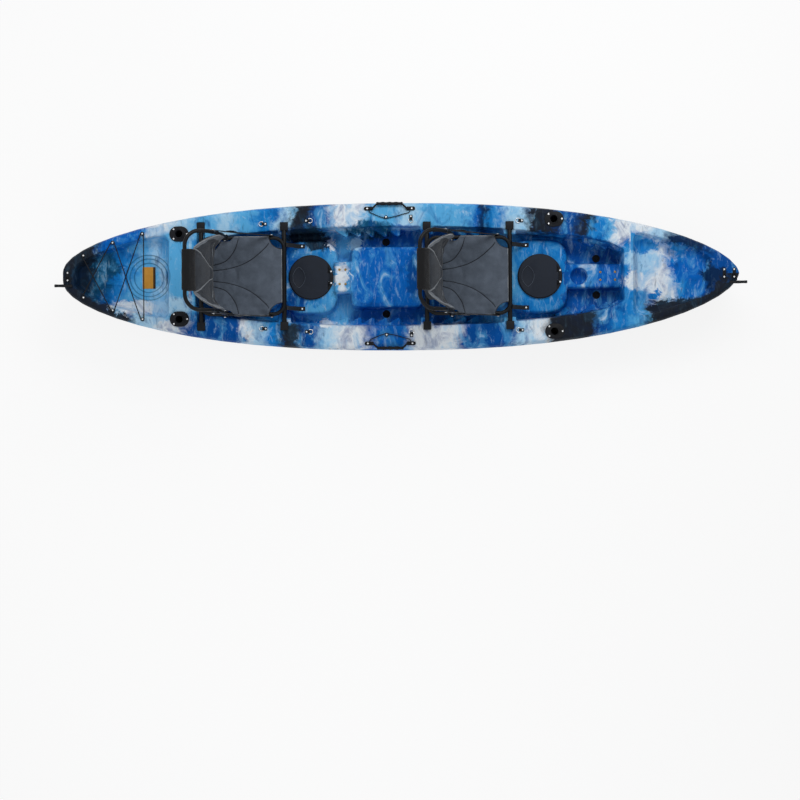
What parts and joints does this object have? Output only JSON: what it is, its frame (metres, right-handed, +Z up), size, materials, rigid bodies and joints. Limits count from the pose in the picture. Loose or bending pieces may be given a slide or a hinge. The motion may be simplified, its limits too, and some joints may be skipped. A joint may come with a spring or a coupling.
{
  "type": "tandem kayak",
  "caption": "Sit-on-top tandem fishing kayak: hollow moulded hull with wells, hinged hatches, rod holders, carrying handles, bungees and folding fabric seats on cross tubes.",
  "frame": {"origin": "middle of the hull's length and beam, on the plane that the keel rests on", "axes": "+X towards the bow, +Y to port, +Z up"},
  "size_m": [3.8905, 0.84, 0.8915],
  "materials": {
    "hull": "streaked camouflage of blues, white and black, lightly textured",
    "black_plastic": "fine-grained black moulding",
    "black_tube": "satin black powder coat",
    "stainless": "polished stainless",
    "brass": "plain brass",
    "seal": "matt black rubber",
    "plug_rubber": "matt black rubber",
    "bungee": "black braided sheath",
    "cord": "black braided cord",
    "webbing": "black ribbed webbing",
    "seat_fabric": "charcoal woven fabric with piping",
    "plate": "plain tan card"
  },
  "bodies": {
    "boat": {"hull_shell": "hull", "hatch_seals": "seal", "hatch_hinge_pins": "stainless", "accessory_inserts": "brass", "tankwell_plate": "plate", "deck_screws": "stainless", "crossbar_end_blocks": "black_plastic", "handle_lugs": "black_plastic", "paddle_knobs": "black_plastic", "pad_eyes": "black_plastic", "bungee_guides": "black_plastic", "tankwell_bungee": "bungee", "d_ring_saddles": "black_plastic", "bow_toggle_cord": "cord", "stern_toggle_cord": "cord", "aft_hatch_rim": "black_plastic", "front_hatch_rim": "black_plastic", "aft_rod_holder_port": "black_plastic", "aft_rod_holder_starboard": "black_plastic", "front_rod_holder_port": "black_plastic", "front_rod_holder_starboard": "black_plastic", "port_paddle_bungee": "bungee", "starboard_paddle_bungee": "bungee", "aft_seat_crossbars": "black_tube", "aft_seat_base_frame": "black_tube", "aft_seat_base_sling": "seat_fabric", "aft_seat_pivot_bolts": "stainless", "aft_seat_side_straps": "webbing", "aft_seat_strap_buckles": "black_plastic", "aft_seat_tie_down_straps": "webbing", "front_seat_crossbars": "black_tube", "front_seat_base_frame": "black_tube", "front_seat_base_sling": "seat_fabric", "front_seat_pivot_bolts": "stainless", "front_seat_side_straps": "webbing", "front_seat_strap_buckles": "black_plastic", "front_seat_tie_down_straps": "webbing"},
    "aft_seat_back": {"aft_seat_back_frame": "black_tube", "aft_seat_back_panel": "seat_fabric"},
    "front_seat_back": {"front_seat_back_frame": "black_tube", "front_seat_back_panel": "seat_fabric"},
    "aft_lid": {"aft_hatch_lid": "black_plastic"},
    "front_lid": {"front_hatch_lid": "black_plastic"},
    "port_handle": {"port_carry_handle": "black_plastic"},
    "starboard_handle": {"starboard_carry_handle": "black_plastic"},
    "bow_grip": {"bow_toggle": "black_plastic"},
    "stern_grip": {"stern_toggle": "black_plastic"},
    "aft_plug_port": {"aft_scupper_plug_port": "plug_rubber"},
    "aft_plug_starboard": {"aft_scupper_plug_starboard": "plug_rubber"},
    "bow_plug_port": {"bow_scupper_plug_port": "plug_rubber"},
    "bow_plug_starboard": {"bow_scupper_plug_starboard": "plug_rubber"},
    "ring_1_port": {"d_ring_1_port": "stainless"},
    "ring_1_starboard": {"d_ring_1_starboard": "stainless"},
    "ring_2_port": {"d_ring_2_port": "stainless"},
    "ring_2_starboard": {"d_ring_2_starboard": "stainless"},
    "ring_3_port": {"d_ring_3_port": "stainless"},
    "ring_3_starboard": {"d_ring_3_starboard": "stainless"},
    "ring_4_port": {"d_ring_4_port": "stainless"},
    "ring_4_starboard": {"d_ring_4_starboard": "stainless"}
  },
  "joints": [
    {"name": "aft_seat_fold", "type": "hinge", "parent": "boat", "child": "aft_seat_back", "pos_m": [-0.9885, 0, 0.3893], "axis": [0, 1, 0], "range_deg": [0, 90], "deforming": ["aft_seat_side_straps", "aft_seat_strap_buckles"]},
    {"name": "front_seat_fold", "type": "hinge", "parent": "boat", "child": "front_seat_back", "pos_m": [0.2865, 0, 0.3663], "axis": [0, 1, 0], "range_deg": [0, 90], "deforming": ["front_seat_side_straps", "front_seat_strap_buckles"]},
    {"name": "aft_hatch_open", "type": "hinge", "parent": "boat", "child": "aft_lid", "pos_m": [-0.41, 0, 0.2186], "axis": [0, 1, 0], "range_deg": [0, 95]},
    {"name": "front_hatch_open", "type": "hinge", "parent": "boat", "child": "front_lid", "pos_m": [0.893, 0, 0.2186], "axis": [0, 1, 0], "range_deg": [0, 110]},
    {"name": "port_handle_lift", "type": "hinge", "parent": "boat", "child": "port_handle", "pos_m": [-0.06287, 0.38191, 0.31392], "axis": [0.9999, 0, -0.0112], "range_deg": [0, 100]},
    {"name": "starboard_handle_lift", "type": "hinge", "parent": "boat", "child": "starboard_handle", "pos_m": [-0.06287, -0.38191, 0.31392], "axis": [-0.9999, 0, 0.0112], "range_deg": [0, 100]},
    {"name": "bow_toggle_swing", "type": "hinge", "parent": "boat", "child": "bow_grip", "pos_m": [1.87217, 0, 0.39461], "axis": [-0.963, 0, -0.2697], "range_deg": [0, 160], "deforming": ["bow_toggle_cord"]},
    {"name": "stern_toggle_swing", "type": "hinge", "parent": "boat", "child": "stern_grip", "pos_m": [-1.87352, 0, 0.39554], "axis": [-0.9975, 0, 0.0704], "range_deg": [0, 160], "deforming": ["stern_toggle_cord"]},
    {"name": "aft_plug_pull_port", "type": "slide", "parent": "boat", "child": "aft_plug_port", "axis": [0, 0, 1], "range_m": [0, 0.05]},
    {"name": "aft_plug_pull_starboard", "type": "slide", "parent": "boat", "child": "aft_plug_starboard", "axis": [0, 0, 1], "range_m": [0, 0.05]},
    {"name": "bow_plug_pull_port", "type": "slide", "parent": "boat", "child": "bow_plug_port", "axis": [0, 0, 1], "range_m": [0, 0.05]},
    {"name": "bow_plug_pull_starboard", "type": "slide", "parent": "boat", "child": "bow_plug_starboard", "axis": [0, 0, 1], "range_m": [0, 0.05]},
    {"name": "d_ring_1_port_turn", "type": "hinge", "parent": "boat", "child": "ring_1_port", "pos_m": [-0.77979, 0.296, 0.32887], "axis": [0, 1, 0], "range_deg": [0, 120]},
    {"name": "d_ring_1_starboard_turn", "type": "hinge", "parent": "boat", "child": "ring_1_starboard", "pos_m": [-0.77979, -0.296, 0.32887], "axis": [0, 1, 0], "range_deg": [0, 120]},
    {"name": "d_ring_2_port_turn", "type": "hinge", "parent": "boat", "child": "ring_2_port", "pos_m": [-0.51983, 0.314, 0.31808], "axis": [0, -1, 0], "range_deg": [0, 120]},
    {"name": "d_ring_2_starboard_turn", "type": "hinge", "parent": "boat", "child": "ring_2_starboard", "pos_m": [-0.51983, -0.314, 0.31808], "axis": [0, -1, 0], "range_deg": [0, 120]},
    {"name": "d_ring_3_port_turn", "type": "hinge", "parent": "boat", "child": "ring_3_port", "pos_m": [0.058, 0.322, 0.3052], "axis": [-1, 0, 0], "range_deg": [0, 120]},
    {"name": "d_ring_3_starboard_turn", "type": "hinge", "parent": "boat", "child": "ring_3_starboard", "pos_m": [0.058, -0.322, 0.3052], "axis": [1, 0, 0], "range_deg": [0, 120]},
    {"name": "d_ring_4_port_turn", "type": "hinge", "parent": "boat", "child": "ring_4_port", "pos_m": [0.67099, 0.31, 0.30538], "axis": [0, 1, 0], "range_deg": [0, 120]},
    {"name": "d_ring_4_starboard_turn", "type": "hinge", "parent": "boat", "child": "ring_4_starboard", "pos_m": [0.67099, -0.31, 0.30538], "axis": [0, 1, 0], "range_deg": [0, 120]}
  ]
}
